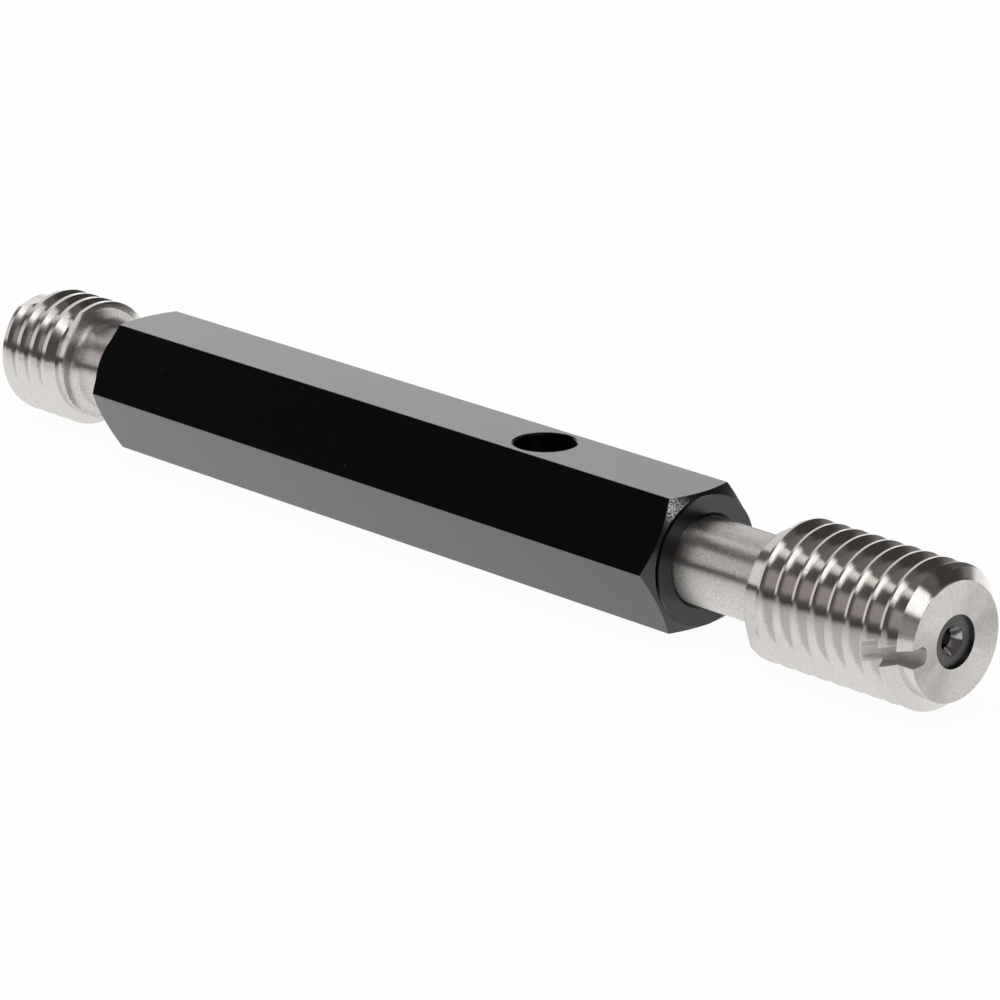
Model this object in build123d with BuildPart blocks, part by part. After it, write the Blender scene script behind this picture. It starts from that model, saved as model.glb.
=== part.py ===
from build123d import *
import os
from math import cos, radians, sin, sqrt, tan

# Double-ended thread plug gauge: a hexagonal handle with a GO member in one end and a
# NO-GO member in the other. Millimetres. The gauge lies along X with the GO end at +X,
# a flat of the handle is on top, and Z = 0 is the surface that its threads lie on.
# The origin is midway between the two end faces.

# Thread form that the gauge checks, an inch coarse thread. Its depth is a share of the
# height of the sharp V, and its crest flats are shares of the pitch.
threads_per_inch = 13
flank_angle = 30
go_major_diameter = 12.70
thread_depth_share = 17 / 24
go_crest_share = 1 / 8
no_go_crest_share = 1 / 4
no_go_truncation = 0.30
ridge_root_overlap = 0.1
run_out_flat_sink = 0.05

# Handle, turned from hexagonal bar
across_flats = 12.0
handle_length = 75.0
bar_edge_radius = 0.15
washer_face_inset = 0.25
washer_face_height = 0.38
end_chamfer_angle = 30
drift_hole_diameter = 5.6
drift_hole_from_end = 19.8
drift_hole_edge_break = 0.15
through_bore_diameter = 6.2

# Self-locking taper between a member's shank and its socket
shank_diameter = 7.76
taper_half_angle = 0.6
seat_length = 16.8
socket_run_out = 3.0
socket_clearance = 0.0
socket_mouth_chamfer = 0.32
shank_end_chamfer = 0.4

# GO member
go_neck_length = 9.4
go_head_length = 18.85
go_thread_to_shoulder = 0.65
go_thread_to_face = 0.60
chip_slot_angle = 184
chip_slot_width = 1.6
chip_slot_depth = 2.9
chip_slot_wheel_radius = 4.9
chip_slot_wheel_corner = 0.6
wheel_corner_share_of_width = 0.8

# NO-GO member
no_go_neck_length = 5.65
no_go_head_length = 9.25
no_go_thread_to_shoulder = 0.19
no_go_thread_to_face = 0.96
no_go_thread_end_angle = 147

# Ends of both members
neck_fillet_radius = 1.0
neck_fillet_share_of_wall = 0.8
shoulder_edge_break = 0.1
end_recess_diameter = 4.6
end_recess_depth = 0.4
centre_hole_diameter = 2.6
centre_cone_angle = 30
pilot_diameter = 1.6
pilot_depth = 2.0

pitch = 25.4 / threads_per_inch
go_crest_radius = go_major_diameter / 2
no_go_crest_radius = go_crest_radius - no_go_truncation
sharp_v_height = pitch / (2 * tan(radians(flank_angle)))
root_radius = go_crest_radius - thread_depth_share * sharp_v_height
shank_radius = shank_diameter / 2
handle_end = handle_length / 2
go_shoulder = handle_end + go_neck_length
go_face = go_shoulder + go_head_length
no_go_shoulder = handle_end + no_go_neck_length
no_go_face = no_go_shoulder + no_go_head_length

# The handle's middle lies off the origin because the GO member is the longer one.
handle_middle = (no_go_face - go_face) / 2
axis_height = go_crest_radius
toward_go = Plane((handle_middle, 0, axis_height), x_dir=(1, 0, 0), z_dir=(0, -1, 0))
toward_no_go = Plane((handle_middle, 0, axis_height), x_dir=(-1, 0, 0), z_dir=(0, 1, 0))
gauge_axis = Axis((handle_middle, 0, axis_height), (1, 0, 0))


def taper_radius(distance):
    """Radius of the locking taper at a distance from the handle's middle."""
    return shank_radius - (handle_end - distance) * tan(radians(taper_half_angle))


# Handle
corner_radius = across_flats / sqrt(3)
washer_face_radius = across_flats / 2 - washer_face_inset
chamfer_start = handle_end - washer_face_height
chamfer_reach = chamfer_start - (corner_radius - washer_face_radius) * tan(radians(end_chamfer_angle))
socket_bottom = handle_end - seat_length - socket_run_out
bar_section = Plane((handle_middle, 0, axis_height), x_dir=(0, 1, 0), z_dir=(1, 0, 0))
drift_hole_middle = handle_end - drift_hole_from_end

with BuildPart() as handle:
    with BuildSketch(bar_section):
        RegularPolygon(across_flats / 2, 6, major_radius=False)
    extrude(amount=handle_end, both=True)
    fillet(handle.edges().filter_by(Axis.X), bar_edge_radius)
    # Ends turned in the lathe: a washer face, then the cone that takes off the corners
    with BuildSketch(toward_go):
        with BuildLine():
            Polyline(
                (-handle_end, 0),
                (-handle_end, washer_face_radius),
                (-chamfer_start, washer_face_radius),
                (-chamfer_reach, corner_radius),
                (chamfer_reach, corner_radius),
                (chamfer_start, washer_face_radius),
                (handle_end, washer_face_radius),
                (handle_end, 0),
                close=True,
            )
        make_face()
    revolve(axis=gauge_axis, mode=Mode.INTERSECT)
    # Straight bore from end to end
    with BuildSketch(bar_section):
        Circle(through_bore_diameter / 2)
    extrude(amount=handle_end, both=True, mode=Mode.SUBTRACT)
    # A taper socket in each end, with a broken edge at its mouth
    for end_plane in (toward_go, toward_no_go):
        with BuildSketch(end_plane):
            with BuildLine():
                Polyline(
                    (socket_bottom, 0),
                    (socket_bottom, taper_radius(socket_bottom) + socket_clearance),
                    (handle_end - socket_mouth_chamfer,
                     taper_radius(handle_end - socket_mouth_chamfer) + socket_clearance),
                    (handle_end, shank_radius + socket_clearance + socket_mouth_chamfer),
                    (handle_end, 0),
                    close=True,
                )
            make_face()
        revolve(axis=gauge_axis, mode=Mode.SUBTRACT)
    # Drift hole for knocking a member out of its taper
    with BuildSketch(Plane.XY.offset(axis_height)):
        with Locations((handle_middle + drift_hole_middle, 0)):
            Circle(drift_hole_diameter / 2)
    extrude(amount=across_flats, both=True, mode=Mode.SUBTRACT)
    flats = handle.faces().filter_by(Axis.Z)
    chamfer(flats.edges().filter_by(GeomType.CIRCLE), drift_hole_edge_break)


def member_core(plane, shoulder, face):
    """Turned core of a member at root size: taper shank, neck, head and centred end."""
    recess_radius = end_recess_diameter / 2
    centre_radius = centre_hole_diameter / 2
    pilot_radius = pilot_diameter / 2
    cone_depth = (centre_radius - pilot_radius) / tan(radians(centre_cone_angle))
    recess_floor = face - end_recess_depth
    edge_break = shoulder_edge_break
    pilot_bottom = recess_floor - cone_depth - pilot_depth
    seat_end = handle_end - seat_length
    chamfer_end = seat_end + shank_end_chamfer
    with BuildPart() as core:
        with BuildSketch(plane):
            with BuildLine():
                Polyline(
                    (seat_end, 0),
                    (seat_end, taper_radius(chamfer_end) - shank_end_chamfer),
                    (chamfer_end, taper_radius(chamfer_end)),
                    (handle_end, shank_radius),
                    (shoulder, shank_radius),
                    (shoulder, root_radius - edge_break),
                    (shoulder + edge_break, root_radius),
                    (face, root_radius),
                    (face, recess_radius),
                    (recess_floor, recess_radius),
                    (recess_floor, centre_radius),
                    (recess_floor - cone_depth, pilot_radius),
                    (pilot_bottom, pilot_radius),
                    (pilot_bottom, 0),
                    close=True,
                )
            make_face()
        revolve(axis=gauge_axis)
        outward = Axis(plane.origin, plane.x_dir)
        neck_corner = core.edges().filter_by(lambda edge: edge.geom_type == GeomType.CIRCLE
                                             and abs(edge.radius - shank_radius) < 0.001)
        neck_wall = root_radius - edge_break - shank_radius
        fillet(neck_corner.sort_by(outward)[-1], min(neck_fillet_radius, neck_wall * neck_fillet_share_of_wall))
    return core.part


def radial_plane(x, angle):
    """Plane across the gauge's axis at x, with its own x direction radial at an angle."""
    radial = Vector(0, cos(radians(angle)), sin(radians(angle)))
    return Plane((x, 0, axis_height), x_dir=radial, z_dir=(1, 0, 0))


def thread_ridge(plane, shoulder, face, crest_radius, crest_width, start_x, end_x, end_angle, faded_end):
    """Right-hand helical ridge from start_x to end_x and end_angle, sunk into its core."""
    base_radius = root_radius - ridge_root_overlap
    half_crest = crest_width / 2
    half_base = half_crest + (crest_radius - base_radius) * tan(radians(flank_angle))
    start_angle = end_angle - 360 * (end_x - start_x) / pitch
    outside = crest_radius + 1
    start = radial_plane(start_x, start_angle)
    with BuildPart() as ridge:
        path = start * Edge.make_helix(pitch, end_x - start_x, crest_radius)
        with BuildSketch(Plane(path @ 0, x_dir=start.x_dir, z_dir=path % 0)):
            with BuildLine():
                Polyline(
                    (0, -half_crest),
                    (0, half_crest),
                    (base_radius - crest_radius, half_base),
                    (base_radius - crest_radius, -half_base),
                    close=True,
                )
            make_face()
        sweep(path=path, is_frenet=True)
        # Squared off at the shoulder and chamfered down to the root at the end face
        with BuildSketch(plane):
            with BuildLine():
                Polyline(
                    (shoulder, 0),
                    (shoulder, outside),
                    (face - outside + root_radius, outside),
                    (face, root_radius),
                    (face, 0),
                    close=True,
                )
            make_face()
        revolve(axis=gauge_axis, mode=Mode.INTERSECT)
        # The thread runs out in a flat ground across its start, and across its end if it fades there too
        flats = [start.offset(-pitch)]
        if faded_end:
            flats.append(radial_plane(end_x - pitch / 2, end_angle))
        for flat in flats:
            with BuildSketch(flat):
                with Locations((root_radius - run_out_flat_sink + outside / 2, 0)):
                    Rectangle(outside, 2 * outside)
            extrude(amount=1.5 * pitch, mode=Mode.SUBTRACT)
    return ridge.part


# GO member, full form thread
go_start_x = handle_middle + go_shoulder + go_thread_to_shoulder
go_end_x = handle_middle + go_face - go_thread_to_face
chip_slot_radial = radial_plane(handle_middle, chip_slot_angle).x_dir
chip_slot_plane = Plane((handle_middle, 0, axis_height), x_dir=(1, 0, 0),
                        z_dir=Vector(1, 0, 0).cross(chip_slot_radial))

# Thin wheel with rounded corners that leaves the slot for chips and dirt
with BuildPart() as chip_slot_wheel:
    with BuildSketch(chip_slot_plane):
        with Locations((go_face, go_crest_radius - chip_slot_depth + chip_slot_wheel_radius)):
            Circle(chip_slot_wheel_radius)
    extrude(amount=chip_slot_width / 2, both=True)
    rims = chip_slot_wheel.edges().filter_by(GeomType.CIRCLE)
    fillet(rims, min(chip_slot_wheel_corner, chip_slot_width / 2 * wheel_corner_share_of_width))

with BuildPart() as go_member:
    add(member_core(toward_go, go_shoulder, go_face))
    add(thread_ridge(toward_go, go_shoulder, go_face, go_crest_radius, go_crest_share * pitch,
                     go_start_x, go_end_x, chip_slot_angle, faded_end=False))
    add(chip_slot_wheel.part, mode=Mode.SUBTRACT)

# NO-GO member, truncated crests and fewer turns
no_go_start_x = handle_middle - no_go_face + no_go_thread_to_face
no_go_end_x = handle_middle - no_go_shoulder - no_go_thread_to_shoulder

with BuildPart() as no_go_member:
    add(member_core(toward_no_go, no_go_shoulder, no_go_face))
    add(thread_ridge(toward_no_go, no_go_shoulder, no_go_face, no_go_crest_radius,
                     no_go_crest_share * pitch, no_go_start_x, no_go_end_x, no_go_thread_end_angle,
                     faded_end=True))

handle.part.label = "handle"
go_member.part.label = "go_member"
no_go_member.part.label = "no_go_member"

os.makedirs("parts", exist_ok=True)
export_step(handle.part, "parts/handle.step")
export_step(go_member.part, "parts/go_member.step")
export_step(no_go_member.part, "parts/no_go_member.step")
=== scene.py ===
# %% [markdown]
# The thread plug gauge in Blender
# A thread plug gauge checks a tapped hole. Its longer GO member has to screw in, and its shorter NO-GO
# member must not. Both are hardened steel, ground and lapped, and sit in a black anodised hexagonal handle.
# The CAD solids already hold the threads, the tapers, the recesses and the chip slot, so no piece is modelled
# here. This lesson is about finishes and light: polished flanks, a grainy shank, a face with grinding marks,
# and black anodising. Light comes last, because polished steel shows little more than the studio around it.

# %% Load the three pieces
import math

import bpy
from mathutils import Matrix, Vector

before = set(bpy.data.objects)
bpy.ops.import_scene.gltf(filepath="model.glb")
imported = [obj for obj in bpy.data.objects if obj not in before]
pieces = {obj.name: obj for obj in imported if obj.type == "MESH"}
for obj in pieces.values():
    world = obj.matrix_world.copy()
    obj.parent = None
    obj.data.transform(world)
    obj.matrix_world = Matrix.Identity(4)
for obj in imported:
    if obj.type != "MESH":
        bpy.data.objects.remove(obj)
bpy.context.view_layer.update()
print("pieces:", sorted(pieces))

# %% [markdown]
# Sizes that the finishes follow
# Every finish on a turned piece follows its axis, which runs along X at the height of the GO thread's radius.
# On a member, one finish ends and the next begins at the shoulder and at the end face. These planes are
# written here in metres for both members, which point in opposite directions. The crests of the NO-GO member
# are truncated, so their radius is smaller, and only the GO member has a chip slot.

# %% Name the planes where finishes meet
MM = 0.001
AXIS_HEIGHT = 6.35 * MM
MEMBERS = {
    "go_member": {"steel": "ground steel GO", "face": 59.075 * MM, "shoulder": 40.225 * MM,
                  "crest_radius": 6.35 * MM, "outwards": 1.0, "has_slot": True},
    "no_go_member": {"steel": "ground steel NO-GO", "face": -59.075 * MM, "shoulder": -49.825 * MM,
                     "crest_radius": 6.05 * MM, "outwards": -1.0, "has_slot": False},
}
for piece_name, member in MEMBERS.items():
    print(piece_name, "head in mm:", round(abs(member["face"] - member["shoulder"]) / MM, 2))

# %% [markdown]
# A short way to write nodes
# A material is a small drawing of boxes and wires. Blender's own calls take three lines for each box, so one
# helper adds a box, sets its choices and either plugs in a wire or types a value at each input. The others do
# sums, soft steps and blends, because most masks are sums on a position.

# %% Helpers that add nodes
def add_node(tree, kind, inputs=None, **choices):
    node = tree.nodes.new(kind)
    for name, choice in choices.items():
        setattr(node, name, choice)
    for name, value in (inputs or {}).items():
        if isinstance(value, bpy.types.NodeSocket):
            tree.links.new(value, node.inputs[name])
        else:
            node.inputs[name].default_value = value
    return node


def calculate(tree, operation, first, second=0.0, third=0.0, clamp=False):
    inputs = {0: first, 1: second, 2: third}
    return add_node(tree, "ShaderNodeMath", inputs, operation=operation, use_clamp=clamp).outputs[0]


def ramp_between(tree, value, start, end):
    inputs = {"Value": value, "From Min": start, "From Max": end}
    return add_node(tree, "ShaderNodeMapRange", inputs, interpolation_type="SMOOTHSTEP").outputs["Result"]


def blend_values(tree, factor, low, high):
    return add_node(tree, "ShaderNodeMix", {0: factor, 2: low, 3: high}, data_type="FLOAT").outputs[0]


def blend_vectors(tree, factor, low, high):
    return add_node(tree, "ShaderNodeMix", {0: factor, 4: low, 5: high}, data_type="VECTOR").outputs[1]


def blend_colours(tree, factor, low, high):
    return add_node(tree, "ShaderNodeMix", {0: factor, 6: low, 7: high}, data_type="RGBA").outputs[2]


print("helpers ready: a node, a sum, a soft step and three blends")

# %% [markdown]
# A short way to write groups and materials
# What several materials share becomes a node group: a box that holds other boxes, with named inputs and
# outputs. One helper starts a group, one places it in a material, and one starts a material with its shader.

# %% Helpers for groups and materials
def start_group(name, inputs, outputs):
    group = bpy.data.node_groups.new(name, "ShaderNodeTree")
    for label, default in inputs:
        kind = "NodeSocketVector" if isinstance(default, tuple) else "NodeSocketFloat"
        socket = group.interface.new_socket(label, in_out="INPUT", socket_type=kind)
        socket.default_value = default
    for label, kind in outputs:
        group.interface.new_socket(label, in_out="OUTPUT", socket_type=kind)
    return group, group.nodes.new("NodeGroupInput").outputs, group.nodes.new("NodeGroupOutput").inputs


def use_group(tree, group, inputs=None):
    return add_node(tree, "ShaderNodeGroup", inputs, node_tree=group).outputs


def start_material(name):
    material = bpy.data.materials.new(name)
    material.use_nodes = True
    tree = material.node_tree
    return material, tree, tree.nodes["Principled BSDF"]


print("helpers ready: groups and materials")

# %% [markdown]
# Where a point lies on a turned piece
# Whatever comes off a lathe or a cylindrical grinder is marked around its axis. The marks are easy to draw
# once a point is known by its distance along the axis, its distance from the axis and its angle around it.
# Three materials need this, so it is a group. Object coordinates keep the pattern on the piece when it moves.
# The sums are functions of their own, because a group's outputs don't feed a tangent or a coat's normal, and
# these two take the same sums from plain nodes.

# %% Group: place on a turned piece
def centre_place(tree):
    place = add_node(tree, "ShaderNodeTexCoord").outputs["Object"]
    to_axis = (0, 0, -AXIS_HEIGHT)
    return add_node(tree, "ShaderNodeVectorMath", {0: place, 1: to_axis}, operation="ADD").outputs[0]


def measure_place(tree):
    centred = centre_place(tree)
    parts = add_node(tree, "ShaderNodeSeparateXYZ", {0: centred}).outputs
    crosswise = add_node(tree, "ShaderNodeCombineXYZ", {"Y": parts["Y"], "Z": parts["Z"]}).outputs[0]
    radius = add_node(tree, "ShaderNodeVectorMath", {0: crosswise}, operation="LENGTH").outputs["Value"]
    angle = calculate(tree, "ARCTAN2", parts["Y"], parts["Z"])
    return {"Along": parts["X"], "Radius": radius, "Angle": angle, "Place": centred}


turned_place, given, result = start_group(
    "place on a turned piece", [],
    [("Along", "NodeSocketFloat"), ("Radius", "NodeSocketFloat"), ("Angle", "NodeSocketFloat"),
     ("Unrolled", "NodeSocketVector"), ("Place", "NodeSocketVector")])
measured = measure_place(turned_place)
arc = calculate(turned_place, "MULTIPLY", measured["Angle"], AXIS_HEIGHT)
measured["Unrolled"] = add_node(turned_place, "ShaderNodeCombineXYZ",
                                {"X": measured["Along"], "Y": arc, "Z": measured["Radius"]}).outputs[0]
for label, socket in measured.items():
    turned_place.links.new(socket, result[label])
print("group:", turned_place.name)

# %% [markdown]
# Grinding marks
# A grinding wheel leaves hair-thin lines that run around the piece, each a little lighter or darker than the
# next. They could be painted, but a noise drawn out along its line is never the same twice and costs
# nothing. The group stretches the noise by its Stretch input: long around the axis on the shank, long from
# the middle outwards on an end face.

# %% Group: grinding marks
grinding_marks, given, result = start_group(
    "grinding marks", [("Place", (0.0, 0.0, 0.0)), ("Stretch", (1.0, 1.0, 1.0)), ("Scale", 1000.0)],
    [("Fine", "NodeSocketFloat")])
stretched = add_node(grinding_marks, "ShaderNodeVectorMath", {0: given["Place"], 1: given["Stretch"]},
                     operation="MULTIPLY").outputs[0]
fine = add_node(grinding_marks, "ShaderNodeTexNoise",
                {"Vector": stretched, "Scale": given["Scale"], "Detail": 5.0, "Roughness": 0.65})
grinding_marks.links.new(fine.outputs[0], result["Fine"])
print("group:", grinding_marks.name)

# %% [markdown]
# Hairline scratches
# An end face that has met many tapped holes carries hairlines in all directions. Each set is a noise drawn
# out along one direction of the face, of which only the highest parts are kept, and three sets cross each
# other.

# %% Group: hairline scratches
HAIRLINE_SETS = ((24.0, 6500.0), (-41.0, 7500.0), (82.0, 5500.0))
HAIRLINE_DRAW = (1.0, 0.035, 1.0)
HAIRLINE_STEP = (0.60, 0.70)
hairlines, given, result = start_group("hairline scratches", [("Place", (0.0, 0.0, 0.0))],
                                       [("Lines", "NodeSocketFloat")])
lines = 0.0
for bearing, fineness in HAIRLINE_SETS:
    turned = add_node(hairlines, "ShaderNodeVectorRotate",
                      {"Vector": given["Place"], "Angle": math.radians(bearing)},
                      rotation_type="X_AXIS").outputs[0]
    drawn_out = add_node(hairlines, "ShaderNodeVectorMath", {0: turned, 1: HAIRLINE_DRAW},
                         operation="MULTIPLY").outputs[0]
    strands = add_node(hairlines, "ShaderNodeTexNoise",
                       {"Vector": drawn_out, "Scale": fineness, "Detail": 2.0}).outputs[0]
    lines = calculate(hairlines, "MAXIMUM", lines, ramp_between(hairlines, strands, *HAIRLINE_STEP))
hairlines.links.new(lines, result["Lines"])
print("group:", hairlines.name)

# %% [markdown]
# Handling wear
# Fingers leave thin patches that dull a surface, and the bench leaves tiny nicks. Both are the same on steel
# and on the black handle, so they share a group: a slow noise for the patches and small dots for the nicks.

# %% Group: handling wear
NICK_EDGE = (0.3, 0.12)


def scatter_nicks(tree, place, scale, share):
    dots = add_node(tree, "ShaderNodeTexVoronoi", {"Vector": place, "Scale": scale, "Randomness": 1.0})
    chosen = add_node(tree, "ShaderNodeTexWhiteNoise", {"Vector": dots.outputs["Position"]})
    is_chosen = calculate(tree, "LESS_THAN", chosen.outputs["Value"], share)
    return calculate(tree, "MULTIPLY", ramp_between(tree, dots.outputs["Distance"], *NICK_EDGE), is_chosen)


handling_wear, given, result = start_group(
    "handling wear",
    [("Place", (0.0, 0.0, 0.0)), ("Patch Scale", 180.0), ("Nick Scale", 900.0), ("Nicks", 0.06)],
    [("Patches", "NodeSocketFloat"), ("Nicks", "NodeSocketFloat")])
patches = add_node(handling_wear, "ShaderNodeTexNoise",
                   {"Vector": given["Place"], "Scale": given["Patch Scale"], "Detail": 4.0, "Roughness": 0.6})
nicks = scatter_nicks(handling_wear, given["Place"], given["Nick Scale"], given["Nicks"])
handling_wear.links.new(patches.outputs[0], result["Patches"])
handling_wear.links.new(nicks, result["Nicks"])
print("group:", handling_wear.name)

# %% [markdown]
# Zones of a member
# Both members are one kind of steel with several finishes, each made by its own step at the maker's: lapped
# flanks that mirror the room, crests ground flat, a grainy shank and neck, an end face with marks that run
# from the middle outwards, and a blackened recess around the centre hole. Masks painted by hand would miss
# the edges, so each zone is found by sums on the place of a point: how deep it lies under the end face, how
# far past the shoulder, and how far from the axis. Each pair of numbers is where a zone's soft edge starts
# and ends.

# %% Find the zones of a member
RECESS_RADIUS = 2.3 * MM
RECESS_FLOOR_DEPTH = 0.4 * MM
FACE_EDGE = (0.03 * MM, 0.01 * MM)
THREAD_EDGE = (0.1 * MM, 0.35 * MM)
BELOW_FACE_EDGE = (0.004 * MM, 0.02 * MM)
RECESS_WALL_EDGE = (RECESS_RADIUS + 0.05 * MM, RECESS_RADIUS + 0.02 * MM)
RECESS_FLOOR_EDGE = (RECESS_FLOOR_DEPTH + 0.02 * MM, RECESS_FLOOR_DEPTH + 0.06 * MM)


def measure_depth(tree, spot, member):
    past_face = calculate(tree, "SUBTRACT", spot["Along"], member["face"])
    return calculate(tree, "MULTIPLY", past_face, -member["outwards"])


def find_zones(tree, spot, depth, member):
    from_shoulder = calculate(tree, "SUBTRACT", spot["Along"], member["shoulder"])
    past_shoulder = calculate(tree, "MULTIPLY", from_shoulder, member["outwards"])
    thread = ramp_between(tree, past_shoulder, *THREAD_EDGE)
    crest_radius = member["crest_radius"]
    at_crest = ramp_between(tree, spot["Radius"], crest_radius - 0.05 * MM, crest_radius - 0.01 * MM)
    below_face = ramp_between(tree, depth, *BELOW_FACE_EDGE)
    recess = calculate(tree, "MULTIPLY", below_face, ramp_between(tree, spot["Radius"], *RECESS_WALL_EDGE))
    return {
        "thread": thread,
        "crest": calculate(tree, "MULTIPLY", thread, at_crest),
        "face": ramp_between(tree, depth, *FACE_EDGE),
        "recess": recess,
        "cone": calculate(tree, "MULTIPLY", recess, ramp_between(tree, depth, *RECESS_FLOOR_EDGE)),
    }


print("recess in mm: radius", RECESS_RADIUS / MM, "depth", RECESS_FLOOR_DEPTH / MM)

# %% [markdown]
# The chip slot
# The GO member has an axial slot through its first turns, which clears chips out of the tapped hole. A thin
# wheel cut it, so its floor is an arc. A point is in the slot where it lies within the wheel's thickness and
# on the wheel's rim, on the wheel's side of the axis.

# %% Find the chip slot
SLOT_BEARING = math.radians(-94.0)
SLOT_HALF_WIDTH = 0.8 * MM
SLOT_WHEEL_RADIUS = 4.9 * MM
SLOT_WHEEL_HEIGHT = 8.35 * MM
SLOT_WALL_EDGE = (SLOT_HALF_WIDTH + 0.04 * MM, SLOT_HALF_WIDTH + 0.01 * MM)
SLOT_FLOOR_EDGE = (SLOT_WHEEL_RADIUS + 0.08 * MM, SLOT_WHEEL_RADIUS + 0.03 * MM)


def find_slot(tree, spot, depth):
    off_bearing = calculate(tree, "SUBTRACT", spot["Angle"], SLOT_BEARING)
    sideways = calculate(tree, "MULTIPLY", spot["Radius"], calculate(tree, "SINE", off_bearing))
    within_walls = ramp_between(tree, calculate(tree, "ABSOLUTE", sideways), *SLOT_WALL_EDGE)
    below_wheel = calculate(tree, "SUBTRACT", SLOT_WHEEL_HEIGHT, spot["Radius"])
    below_squared = calculate(tree, "MULTIPLY", below_wheel, below_wheel)
    to_wheel = calculate(tree, "SQRT", calculate(tree, "MULTIPLY_ADD", depth, depth, below_squared))
    within_rim = ramp_between(tree, to_wheel, *SLOT_FLOOR_EDGE)
    in_slot = calculate(tree, "MULTIPLY", within_walls, within_rim)
    on_this_side = calculate(tree, "GREATER_THAN", calculate(tree, "COSINE", off_bearing), 0.0)
    return calculate(tree, "MULTIPLY", in_slot, on_this_side)


print("slot in mm: width", 2 * SLOT_HALF_WIDTH / MM, "wheel radius", SLOT_WHEEL_RADIUS / MM)

# %% [markdown]
# Marks on the steel
# The same noises serve the colour, the roughness and the relief of the steel, so they are made once: fine
# lines around the axis, lines that swirl outwards on the end face, hairlines, a grain of about an eighth of a
# millimetre, and handling wear. The slot, cut along the axis, has lines of its own.

# %% Make the marks
LINES_AROUND = {"Stretch": (1.0, 0.03, 1.0), "Scale": 9000.0}
LINES_OUTWARD = {"Stretch": (1.0, 1.0, 1.0), "Scale": 26.0}
LINES_LENGTHWISE = {"Stretch": (0.04, 1.0, 1.0), "Scale": 5000.0}
FAN_SWIRL = 90.0
FAN_DRAW = 60.0
STEEL_GRAIN = {"Scale": 8000.0, "Detail": 2.0, "Roughness": 0.7}
GRAIN_STEP = (0.3, 0.7)
STEEL_WEAR = {"Patch Scale": 210.0, "Nick Scale": 1300.0, "Nicks": 0.03}


def make_marks(tree, spot):
    swirl = calculate(tree, "MULTIPLY_ADD", spot["Radius"], FAN_SWIRL, spot["Angle"])
    fan = add_node(tree, "ShaderNodeCombineXYZ",
                   {"X": calculate(tree, "MULTIPLY", spot["Radius"], FAN_DRAW),
                    "Y": calculate(tree, "SINE", swirl), "Z": calculate(tree, "COSINE", swirl)}).outputs[0]
    grain = add_node(tree, "ShaderNodeTexNoise", {"Vector": spot["Place"], **STEEL_GRAIN}).outputs[0]
    wear = use_group(tree, handling_wear, {"Place": spot["Place"], **STEEL_WEAR})
    return {
        "around": use_group(tree, grinding_marks, {"Place": spot["Unrolled"], **LINES_AROUND})["Fine"],
        "outward": use_group(tree, grinding_marks, {"Place": fan, **LINES_OUTWARD})["Fine"],
        "scratches": use_group(tree, hairlines, {"Place": spot["Place"]})["Lines"],
        "grain": grain,
        "granular": ramp_between(tree, grain, *GRAIN_STEP),
        "patches": wear["Patches"],
        "nicks": wear["Nicks"],
    }


print("grain in mm:", 1 / STEEL_GRAIN["Scale"] / MM)

# %% [markdown]
# Colour of the steel
# Steel is a warm grey, and each finish returns a different share of the light. Where a zone has marks, its
# colour runs between a dark and a light tone with them. Elsewhere one tone is enough. The zones lie over each
# other like coats of paint, so they are blended in one after another.

# %% Choose the colour of each zone
SHANK_TONES = ((0.54, 0.52, 0.495, 1), (0.88, 0.853, 0.82, 1))
THREAD_TONES = ((0.60, 0.58, 0.555, 1), (0.82, 0.795, 0.76, 1))
FACE_TONES = ((0.45, 0.425, 0.40, 1), (0.86, 0.82, 0.785, 1))
SLOT_TONES = ((0.50, 0.48, 0.46, 1), (0.76, 0.735, 0.71, 1))
SCRATCH_TONE = (0.95, 0.93, 0.91, 1)
SCRATCH_SHARE = 0.28
CREST_TONE = (0.70, 0.68, 0.655, 1)
RECESS_TONE = (0.11, 0.108, 0.106, 1)
CONE_TONE = (0.45, 0.44, 0.43, 1)


def colour_steel(tree, zones, marks):
    mottled = blend_values(tree, 0.5, marks["around"], marks["granular"])
    shank = blend_colours(tree, marks["granular"], *SHANK_TONES)
    thread = blend_colours(tree, mottled, *THREAD_TONES)
    face = blend_colours(tree, marks["outward"], *FACE_TONES)
    bright_lines = calculate(tree, "MULTIPLY", marks["scratches"], SCRATCH_SHARE)
    face = blend_colours(tree, bright_lines, face, SCRATCH_TONE)
    over = {"crest": CREST_TONE, "face": face, "recess": RECESS_TONE, "cone": CONE_TONE}
    if "slot" in zones:
        over["slot"] = blend_colours(tree, marks["lengthwise"], *SLOT_TONES)
    tone = blend_colours(tree, zones["thread"], shank, thread)
    for zone, zone_tone in over.items():
        tone = blend_colours(tree, zones[zone], tone, zone_tone)
    return tone


print("tones of the shank:", SHANK_TONES[0][:3], "to", SHANK_TONES[1][:3])

# %% [markdown]
# Roughness of the steel
# Lapping leaves the flanks nearly a mirror. The shank and the end face keep the wheel's marks and scatter
# more. Fingers dull some patches, and the finest lines differ a little from one to the next.

# %% Choose the roughness of each zone
SHANK_ROUGHNESS = 0.28
THREAD_ROUGHNESS = 0.10
ROUGHNESS_OVER = {"crest": 0.14, "face": 0.34, "recess": 0.30, "cone": 0.09, "slot": 0.30}
PATCH_DULLING = 0.08
LINE_DULLING = 0.06


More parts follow.
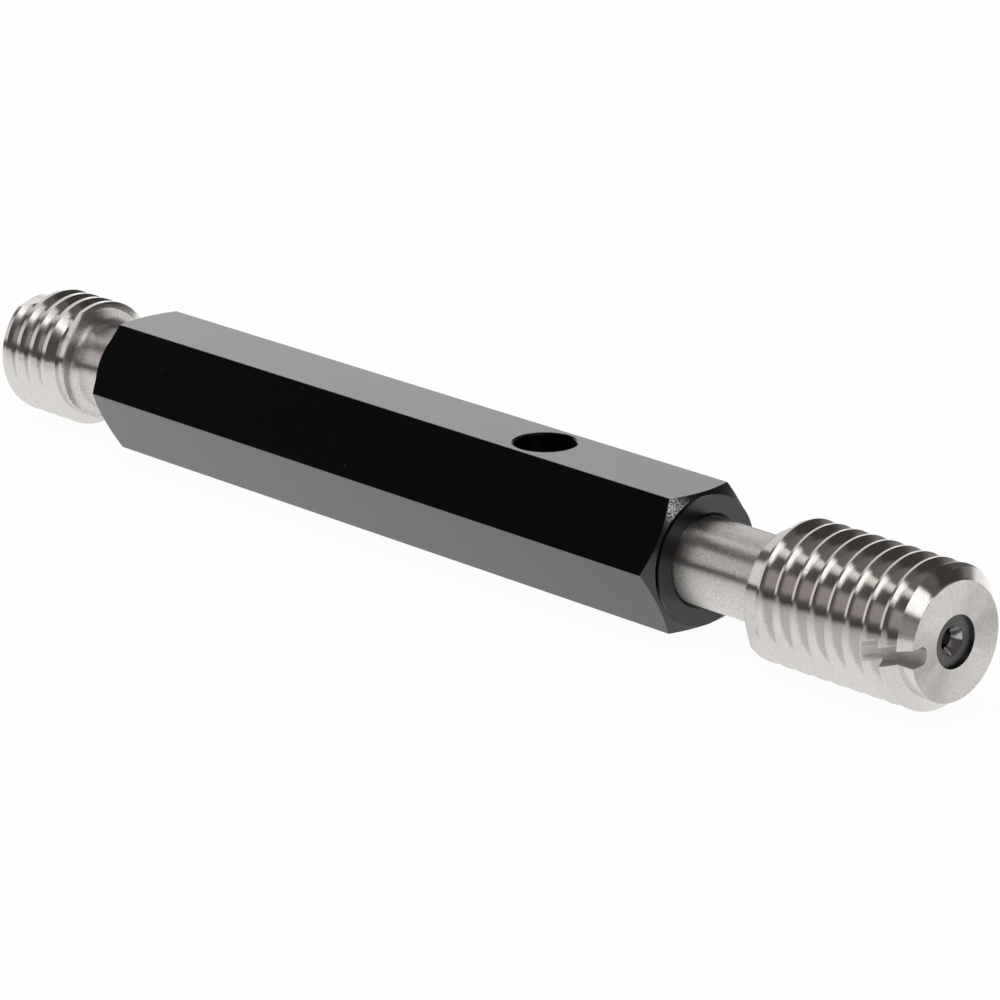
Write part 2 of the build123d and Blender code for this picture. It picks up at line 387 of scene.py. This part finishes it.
def roughen_steel(tree, zones, marks):
    rough = blend_values(tree, zones["thread"], SHANK_ROUGHNESS, THREAD_ROUGHNESS)
    for zone, zone_roughness in ROUGHNESS_OVER.items():
        if zone in zones:
            rough = blend_values(tree, zones[zone], rough, zone_roughness)
    patches_apart = calculate(tree, "SUBTRACT", marks["patches"], 0.5)
    rough = calculate(tree, "MULTIPLY_ADD", patches_apart, PATCH_DULLING, rough)
    lines_apart = calculate(tree, "SUBTRACT", marks["around"], 0.5)
    return calculate(tree, "MULTIPLY_ADD", lines_apart, LINE_DULLING, rough, clamp=True)


print("roughness: shank", SHANK_ROUGHNESS, "thread", THREAD_ROUGHNESS, ROUGHNESS_OVER)

# %% [markdown]
# Which way a highlight spreads
# Fine marks smear a reflection across themselves. On the shank and the threads the marks run around, so the
# smear runs along the axis. On a shoulder it runs from the axis outwards, and on the end face and in the slot
# it runs around. The shader takes this direction as its tangent, which plain nodes work out.

# %% Choose the direction of the spread
ALONG_AXIS = (1, 0, 0)
SHOULDER_FACING = (0.80, 0.95)


def spread_highlight(tree, member):
    normal = add_node(tree, "ShaderNodeNewGeometry").outputs["Normal"]
    facing_axis = calculate(tree, "ABSOLUTE",
                            add_node(tree, "ShaderNodeSeparateXYZ", {0: normal}).outputs["X"])
    spot = measure_place(tree)
    spread = blend_vectors(tree, ramp_between(tree, facing_axis, *SHOULDER_FACING), ALONG_AXIS, spot["Place"])
    round_axis = add_node(tree, "ShaderNodeVectorMath", {0: ALONG_AXIS, 1: spot["Place"]},
                          operation="CROSS_PRODUCT").outputs[0]
    depth = measure_depth(tree, spot, member)
    spreads_round = ramp_between(tree, depth, *FACE_EDGE)
    if member["has_slot"]:
        spreads_round = calculate(tree, "MAXIMUM", spreads_round, find_slot(tree, spot, depth))
    return blend_vectors(tree, spreads_round, spread, round_axis)


print("a shoulder faces the axis by", SHOULDER_FACING)

# %% [markdown]
# Relief of the steel
# The marks are also a very low relief, about a hundredth of a millimetre. It only breaks up the highlights.
# All the shapes come from the solids.

# %% Raise the marks
RELIEF_STRENGTH = 0.25
RELIEF_HEIGHT = 0.012 * MM
SHANK_GRAIN = 1.5
THREAD_GRAIN, THREAD_LINES = 1.0, 0.5
FACE_LINES, FACE_SCRATCHES = 1.6, -0.6


def raise_marks(tree, zones, marks):
    shank = calculate(tree, "MULTIPLY_ADD", marks["grain"], SHANK_GRAIN, marks["around"])
    thread_lines = calculate(tree, "MULTIPLY", marks["around"], THREAD_LINES)
    thread = calculate(tree, "MULTIPLY_ADD", marks["grain"], THREAD_GRAIN, thread_lines)
    scratches = calculate(tree, "MULTIPLY", marks["scratches"], FACE_SCRATCHES)
    face = calculate(tree, "MULTIPLY_ADD", marks["outward"], FACE_LINES, scratches)
    height = blend_values(tree, zones["face"], blend_values(tree, zones["thread"], shank, thread), face)
    height = calculate(tree, "SUBTRACT", height, marks["nicks"])
    return add_node(tree, "ShaderNodeBump", {"Height": height, "Strength": RELIEF_STRENGTH,
                                             "Distance": RELIEF_HEIGHT}).outputs[0]


print("relief in mm:", RELIEF_HEIGHT / MM)

# %% [markdown]
# Steel, ground and lapped
# The two members need the same steel at different places, so one function puts the steps above together and
# is called for each. Metal all over is a plain value on the shader, and so is the full smear.

# %% Material: ground steel
def make_ground_steel(member):
    material, tree, shader = start_material(member["steel"])
    spot = use_group(tree, turned_place)
    depth = measure_depth(tree, spot, member)
    zones = find_zones(tree, spot, depth, member)
    marks = make_marks(tree, spot)
    if member["has_slot"]:
        zones["slot"] = find_slot(tree, spot, depth)
        along_slot = use_group(tree, grinding_marks, {"Place": spot["Place"], **LINES_LENGTHWISE})
        marks["lengthwise"] = along_slot["Fine"]
    tree.links.new(colour_steel(tree, zones, marks), shader.inputs["Base Color"])
    tree.links.new(roughen_steel(tree, zones, marks), shader.inputs["Roughness"])
    tree.links.new(spread_highlight(tree, member), shader.inputs["Tangent"])
    tree.links.new(raise_marks(tree, zones, marks), shader.inputs["Normal"])
    shader.inputs["Metallic"].default_value = 1.0
    shader.inputs["Anisotropic"].default_value = 1.0
    return material


for piece_name, member in MEMBERS.items():
    pieces[piece_name].data.materials[0] = make_ground_steel(member)
    print("steel on:", piece_name)

# %% [markdown]
# Zones of the handle
# The ends of the handle are turned and its flats are not, so the two shine differently. The direction of the
# surface tells them apart: an end face looks along the axis, and a cone nearly so. At one corner of the cones
# flecks of grey metal are painted where the light glints on the blasted grain: a painted glint. They appear
# where the grain of the blasting is high, and the mask raises it near that corner.

# %% Find the zones of the handle
END_FACING = (0.4, 0.7)
CONE_FACING = (0.97, 0.93)
# Where the painted glint sits: the corner of the cones at which the light glints on the blasted grain.
PAINTED_GLINT_CORNER = math.radians(-30)
PAINTED_GLINT_EDGE = (math.radians(27), math.radians(3))
PAINTED_GLINT_RISE = 0.24
PAINTED_GLINT_STEP = (0.70, 0.76)


def find_handle_zones(tree, spot, grain):
    normal = add_node(tree, "ShaderNodeNewGeometry").outputs["Normal"]
    facing_axis = calculate(tree, "ABSOLUTE",
                            add_node(tree, "ShaderNodeSeparateXYZ", {0: normal}).outputs["X"])
    end = ramp_between(tree, facing_axis, *END_FACING)
    cone = calculate(tree, "MULTIPLY", end, ramp_between(tree, facing_axis, *CONE_FACING))
    off_corner = calculate(tree, "ABSOLUTE", calculate(tree, "SUBTRACT", spot["Angle"], PAINTED_GLINT_CORNER))
    # Painted glint: the grain is raised near the glinting corner, so the metal flecks show only there.
    painted_glint = calculate(tree, "MULTIPLY_ADD", ramp_between(tree, off_corner, *PAINTED_GLINT_EDGE), PAINTED_GLINT_RISE, grain)
    painted_glint_flecks = calculate(tree, "MULTIPLY", cone, ramp_between(tree, painted_glint, *PAINTED_GLINT_STEP))
    return {"end": end, "cone": cone, "painted_glint_flecks": painted_glint_flecks}


# The corner of the painted glint, in degrees around the axis.
print("worn corner in degrees:", round(math.degrees(PAINTED_GLINT_CORNER)))

# %% [markdown]
# The coat of the handle
# Seen straight on, dyed oxide swallows nearly all light, and at a low angle it turns into a satin mirror: the
# top flat shows the pale backdrop and the upper front flat stays black. A plain dark plastic can't do both.
# So the base keeps little gloss of its own and a coat of high index carries the shine. Layer Weight lets the
# coat grow towards low angles on the flats, and the turned ends keep a steady share of it.

# %% Lay the coat on the handle
LOW_ANGLE = (0.37, 0.69)
FACE_COAT, CONE_COAT = 0.37, 0.46
FLAT_COAT_ROUGHNESS, END_COAT_ROUGHNESS = 0.3, 0.24
COAT_INDEX = 2.3


def coat_handle(tree, shader, zones):
    facing = add_node(tree, "ShaderNodeLayerWeight", {"Blend": 0.5}).outputs["Facing"]
    flat_coat = ramp_between(tree, facing, *LOW_ANGLE)
    end_coat = blend_values(tree, zones["cone"], FACE_COAT, CONE_COAT)
    coat_roughness = blend_values(tree, zones["end"], FLAT_COAT_ROUGHNESS, END_COAT_ROUGHNESS)
    tree.links.new(blend_values(tree, zones["end"], flat_coat, end_coat), shader.inputs["Coat Weight"])
    tree.links.new(coat_roughness, shader.inputs["Coat Roughness"])
    shader.inputs["Coat IOR"].default_value = COAT_INDEX


print("index of the coat:", COAT_INDEX)

# %% [markdown]
# Black anodised aluminium
# The handle is blasted with fine beads and then anodised black. The blasting is a fine grain in the colour
# and a low relief that the base and the coat share. Nicks show a little lighter, and patches of handling
# change the gloss. The coat's normal takes no group's output, so the relief has its nicks from plain nodes.

# %% Material: black anodised aluminium
BLASTED_GRAIN = {"Scale": 6500.0, "Detail": 3.0, "Roughness": 0.7}
HANDLE_WEAR = {"Patch Scale": 120.0, "Nick Scale": 1100.0, "Nicks": 0.02}
BLACK_TONES = ((0.0012, 0.0012, 0.0013, 1), (0.0036, 0.0035, 0.0036, 1))
NICK_TONE, NICK_SHARE = (0.03, 0.03, 0.03, 1), 0.3
# Grey metal colour and roughness of the painted glint flecks.
PAINTED_GLINT_TONE, PAINTED_GLINT_ROUGHNESS = (0.33, 0.32, 0.32, 1), 0.22
BLACK_ROUGHNESS, HANDLE_PATCH_DULLING = 0.38, 0.1
BLACK_GLOSS = 0.022
BLASTED_RELIEF = {"Strength": 0.35, "Distance": 0.02 * MM}


def raise_blasting(tree, place, grain):
    nicks = scatter_nicks(tree, place, HANDLE_WEAR["Nick Scale"], HANDLE_WEAR["Nicks"])
    height = calculate(tree, "SUBTRACT", grain, nicks)
    return add_node(tree, "ShaderNodeBump", {"Height": height, **BLASTED_RELIEF}).outputs[0]


def make_black_anodised(name):
    material, tree, shader = start_material(name)
    spot = use_group(tree, turned_place)
    place = centre_place(tree)
    grain = add_node(tree, "ShaderNodeTexNoise", {"Vector": place, **BLASTED_GRAIN}).outputs[0]
    wear = use_group(tree, handling_wear, {"Place": place, **HANDLE_WEAR})
    zones = find_handle_zones(tree, spot, grain)
    tone = blend_colours(tree, grain, *BLACK_TONES)
    tone = blend_colours(tree, calculate(tree, "MULTIPLY", wear["Nicks"], NICK_SHARE), tone, NICK_TONE)
    # Painted glint: grey metal flecks laid into the black at the corner where the light glints.
    tree.links.new(blend_colours(tree, zones["painted_glint_flecks"], tone, PAINTED_GLINT_TONE), shader.inputs["Base Color"])
    tree.links.new(zones["painted_glint_flecks"], shader.inputs["Metallic"])
    patches_apart = calculate(tree, "SUBTRACT", wear["Patches"], 0.5)
    rough = calculate(tree, "MULTIPLY_ADD", patches_apart, HANDLE_PATCH_DULLING, BLACK_ROUGHNESS)
    rough = blend_values(tree, zones["painted_glint_flecks"], rough, PAINTED_GLINT_ROUGHNESS)
    tree.links.new(rough, shader.inputs["Roughness"])
    shader.inputs["Specular IOR Level"].default_value = BLACK_GLOSS
    coat_handle(tree, shader, zones)
    relief = raise_blasting(tree, place, grain)
    tree.links.new(relief, shader.inputs["Normal"])
    tree.links.new(relief, shader.inputs["Coat Normal"])
    return material


pieces["handle"].data.materials[0] = make_black_anodised("black anodised aluminium")
print("black on:", "handle")

# %% [markdown]
# The floor
# The gauge lies on a plain white sheet. The camera has to see it white, and the gauge's soft shadow has to
# stay. More light on the whole set would bleach the gauge too. So for the camera and in reflections most of
# the sheet's light is its own, where a level of one is white, and the rest is diffuse and takes the shadow.

# %% Make the sheet
SHEET_SIZE = 4.0
OWN_LIGHT = 0.96
bpy.ops.object.select_all(action="DESELECT")
bpy.ops.mesh.primitive_plane_add(size=SHEET_SIZE, location=(0, 0, 0))
floor = bpy.context.object
floor.name = "floor"
sheet, tree, shader = start_material("white sheet")
shader.inputs["Base Color"].default_value = (0.9, 0.9, 0.9, 1)
shader.inputs["Roughness"].default_value = 0.9
shader.inputs["Specular IOR Level"].default_value = 0.0
rays = add_node(tree, "ShaderNodeLightPath").outputs
reflected = calculate(tree, "MAXIMUM", rays["Is Glossy Ray"], rays["Is Transmission Ray"])
seen = calculate(tree, "MAXIMUM", rays["Is Camera Ray"], reflected)
print("floor:", [round(v, 2) for v in floor.dimensions])

# %% [markdown]
# Place on the sheet
# The flanks that lean down mirror the sheet, so it needs the levels that they show in the photograph. Near
# the GO end the sheet is white. Further away it loses light, and how much depends on the direction. So each
# point of the sheet is found by its distance and its bearing from a spot near that end.

# %% Measure distance and bearing on the sheet
NEAR_GO_END = 50 * MM
FADE_LENGTH = 90 * MM
on_sheet = add_node(tree, "ShaderNodeSeparateXYZ",
                    {0: add_node(tree, "ShaderNodeTexCoord").outputs["Object"]}).outputs
from_end = calculate(tree, "SUBTRACT", on_sheet["X"], NEAR_GO_END)
bearing = calculate(tree, "ARCTAN2", on_sheet["Y"], from_end)
squared = calculate(tree, "MULTIPLY", on_sheet["Y"], on_sheet["Y"])
distance = calculate(tree, "SQRT", calculate(tree, "MULTIPLY_ADD", from_end, from_end, squared))
kept_share = calculate(tree, "EXPONENT", calculate(tree, "DIVIDE", distance, -FADE_LENGTH))
fade = calculate(tree, "SUBTRACT", 1.0, kept_share)
print("the sheet fades over", FADE_LENGTH / MM, "mm")

# %% [markdown]
# Light of the sheet
# In front of the gauge the mirrored sheet loses little in the strip towards the camera and much on both
# sides of it. Behind the gauge it is lighter than white. For the camera the sheet's own light is plain white
# everywhere.

# %% Light the sheet
CAMERA_BEARING = math.radians(-46)
CAMERA_STRIP_EDGE = (math.radians(8), math.radians(20))
RIGHT_EDGE = (math.radians(-4), math.radians(-14))
LEFT_EDGE = (math.radians(-176), math.radians(-135))
LOST_IN_STRIP, LOST_BESIDE_IT = 0.20, 0.70
LEVEL_IN_FRONT = 0.97
LEVEL_BEHIND, LOST_BEHIND = 1.40, 0.35
BEHIND_EDGE = (8 * MM, 40 * MM)
off_camera = calculate(tree, "ABSOLUTE", calculate(tree, "SUBTRACT", bearing, CAMERA_BEARING))
in_front = calculate(tree, "MULTIPLY", ramp_between(tree, bearing, *RIGHT_EDGE),
                     ramp_between(tree, bearing, *LEFT_EDGE))
lost = blend_values(tree, ramp_between(tree, off_camera, *CAMERA_STRIP_EDGE), LOST_IN_STRIP, LOST_BESIDE_IT)
dimmer = calculate(tree, "MULTIPLY", fade, calculate(tree, "MULTIPLY", in_front, lost))
level_in_front = calculate(tree, "SUBTRACT", LEVEL_IN_FRONT, dimmer)
level_behind = calculate(tree, "MULTIPLY_ADD", fade, -LOST_BEHIND, LEVEL_BEHIND)
behind = ramp_between(tree, on_sheet["Y"], *BEHIND_EDGE)
in_steel = blend_values(tree, behind, level_in_front, level_behind)
strength = blend_values(tree, rays["Is Glossy Ray"], 1.0, in_steel)
glow = add_node(tree, "ShaderNodeEmission", {"Color": (1, 1, 1, 1), "Strength": strength})
mixed = add_node(tree, "ShaderNodeMixShader", {0: calculate(tree, "MULTIPLY", seen, OWN_LIGHT),
                                               1: shader.outputs[0], 2: glow.outputs[0]})
tree.links.new(mixed.outputs[0], tree.nodes["Material Output"].inputs["Surface"])
floor.data.materials.append(sheet)
print("share of the sheet's own light:", OWN_LIGHT)

# %% [markdown]
# A lamp for what scatters light
# One large, weak lamp above the gauge adds light to what scatters it, such as the sheet. It would leave a
# bright patch in the polished steel, so glossy rays don't see it.

# %% Hang the fill lamp
FILL_SIZE = 0.9
FILL_POWER = 5.0
FILL_PLACE = Vector((-0.15, -0.1, 0.8))
fill = bpy.data.lights.new("fill lamp", "AREA")
fill.shape = "SQUARE"
fill.size = FILL_SIZE
fill.energy = FILL_POWER
fill_lamp = bpy.data.objects.new("fill lamp", fill)
fill_lamp.location = FILL_PLACE
fill_lamp.rotation_euler = FILL_PLACE.to_track_quat("Z", "Y").to_euler()
fill_lamp.visible_glossy = False
bpy.context.scene.collection.objects.link(fill_lamp)
print("fill lamp:", FILL_POWER, "W")

# %% [markdown]
# The studio
# Polished steel is drawn by what stands around it. In the photograph the flanks show, from the horizon up: a
# dark line where the table ends, a grey card, a gap, and a large soft light overhead. Lamps could be hung for
# each, but a card is only a patch of sky to so small an object, so the world itself is painted. A group marks
# a soft-edged patch by its longitude and latitude in degrees.

# %% Group: soft-edged patch of sky
sky_patch, given, result = start_group(
    "soft patch of sky",
    [("Longitude", 0.0), ("Latitude", 0.0), ("Middle", 0.0), ("Half Width", 20.0), ("Low", 0.0),
     ("High", 10.0), ("Edge", 4.0)], [("Mask", "NodeSocketFloat")])
turn = calculate(sky_patch, "SUBTRACT", given["Longitude"], given["Middle"])
off_middle = calculate(sky_patch, "ABSOLUTE", calculate(sky_patch, "WRAP", turn, 180.0, -180.0))
mask = 1.0
for outer, inner in ((given["Half Width"], off_middle), (given["Latitude"], given["Low"]),
                     (given["High"], given["Latitude"])):
    inside = calculate(sky_patch, "DIVIDE", calculate(sky_patch, "SUBTRACT", outer, inner), given["Edge"])
    mask = calculate(sky_patch, "MULTIPLY", mask, ramp_between(sky_patch, inside, -0.5, 0.5))
sky_patch.links.new(mask, result["Mask"])
print("group:", sky_patch.name)

# %% [markdown]
# Directions in the sky
# The world's shader knows only the direction in which a ray leaves. Two sums turn it into the longitude and
# latitude that the patches use. Longitude 0 is +X, past the GO end, and 90 is +Y, behind the gauge.

# %% Measure longitude and latitude
DEGREES = 180.0 / math.pi
world = bpy.data.worlds.new("studio")
bpy.context.scene.world = world
world.use_nodes = True
tree = world.node_tree
towards = add_node(tree, "ShaderNodeTexCoord").outputs["Generated"]
parts = add_node(tree, "ShaderNodeSeparateXYZ", {0: towards}).outputs
longitude = calculate(tree, "MULTIPLY", calculate(tree, "ARCTAN2", parts["Y"], parts["X"]), DEGREES)
latitude = calculate(tree, "MULTIPLY", calculate(tree, "ARCSINE", parts["Z"]), DEGREES)
print("world:", world.name)

# %% [markdown]
# The cards around the gauge
# Each card is a name, a colour, its middle and half width in longitude, its lowest and highest latitude, and
# the width of its soft edge. A card covers what is painted before it, so the order matters. The camera sees
# plain white, because the photograph's background is white.

# %% Paint the world
BARE_SKY = (0.126, 0.113, 0.116, 1)
CARDS = (
    ("ceiling behind", (0.25, 0.24, 0.24, 1), 115.0, 70.0, 50.0, 88.0, 14.0),
    ("left wall", (0.84, 0.83, 0.82, 1), 158.5, 33.5, -9.0, 54.0, 5.0),
    ("left wall, low", (1.36, 1.36, 1.39, 1), 155.0, 27.0, -9.0, 19.0, 10.0),
    ("front left card", (0.88, 0.83, 0.82, 1), -138.0, 16.0, 7.5, 38.0, 6.0),
    ("front card", (0.465, 0.43, 0.425, 1), -106.0, 18.0, 15.0, 43.0, 10.0),
    ("camera side", (0.34, 0.32, 0.32, 1), -43.0, 10.0, -9.0, 34.0, 6.0),
    ("overhead light", (1.50, 1.50, 1.50, 1), -141.0, 27.0, 66.5, 87.0, 5.0),
    ("gap under the soft light", (0.085, 0.077, 0.077, 1), -9.0, 15.0, 2.0, 24.0, 6.0),
    ("right soft light", (1.50, 1.49, 1.48, 1), 9.5, 10.5, 17.5, 34.0, 4.0),
    ("right soft light, upper part", (1.50, 1.50, 1.50, 1), -17.0, 18.0, 28.5, 54.0, 4.0),
    ("right rear flag", (0.056, 0.052, 0.05, 1), 46.5, 22.5, 15.0, 60.0, 5.0),
    ("spill beside the light", (0.14, 0.13, 0.13, 1), 28.0, 8.0, 22.0, 56.0, 8.0),
    ("horizon", (0.09, 0.084, 0.084, 1), -45.0, 110.0, -9.0, 6.0, 4.0),
    ("horizon at the camera", (0.62, 0.60, 0.60, 1), -46.0, 7.0, -9.0, 6.0, 4.0),
    ("glow over the sweep", (0.24, 0.235, 0.23, 1), 92.0, 24.0, -9.0, 13.0, 10.0),
    ("white sweep", (1.05, 1.05, 1.05, 1), 104.0, 32.0, -9.0, 3.5, 8.0),
)
sky = BARE_SKY
for label, colour, middle, half_width, low, high, edge in CARDS:
    mask = use_group(tree, sky_patch, {"Longitude": longitude, "Latitude": latitude, "Middle": middle,
                                       "Half Width": half_width, "Low": low, "High": high,
                                       "Edge": edge})["Mask"]
    sky = blend_colours(tree, mask, sky, colour)
    print("card:", label, colour[:3])
camera_sees = add_node(tree, "ShaderNodeLightPath").outputs["Is Camera Ray"]
sky = blend_colours(tree, camera_sees, sky, (1, 1, 1, 1))
tree.links.new(sky, tree.nodes["Background"].inputs["Color"])

# %% [markdown]
# The camera
# The photograph was taken with a long lens, about 47 degrees round towards the GO end and 18 degrees above
# the table, so the gauge fills the frame from corner to corner and its far end is only a little smaller.

# %% Set the camera
AZIMUTH = math.radians(46.932)
ELEVATION = math.radians(17.885)
ROLL = math.radians(-0.056)
AIM = Vector((-0.000369, 0.005275, 0.003237))
CAMERA_DISTANCE = 0.461
FOCAL_LENGTH = 185.41
SENSOR_WIDTH = 36.0
back = Vector((math.sin(AZIMUTH) * math.cos(ELEVATION), -math.cos(AZIMUTH) * math.cos(ELEVATION),
               math.sin(ELEVATION)))
level_right = Vector((math.cos(AZIMUTH), math.sin(AZIMUTH), 0.0))
level_up = back.cross(level_right)
right = math.cos(ROLL) * level_right + math.sin(ROLL) * level_up
up = math.cos(ROLL) * level_up - math.sin(ROLL) * level_right
camera_data = bpy.data.cameras.new("camera")
camera_data.lens = FOCAL_LENGTH
camera_data.sensor_width = SENSOR_WIDTH
camera = bpy.data.objects.new("camera", camera_data)
camera.matrix_world = Matrix((right, up, back)).transposed().to_4x4()
camera.matrix_world.translation = AIM + back * CAMERA_DISTANCE
bpy.context.scene.collection.objects.link(camera)
bpy.context.scene.camera = camera
bpy.context.scene.view_settings.view_transform = "Standard"
print("camera at", [round(v, 4) for v in camera.matrix_world.translation])
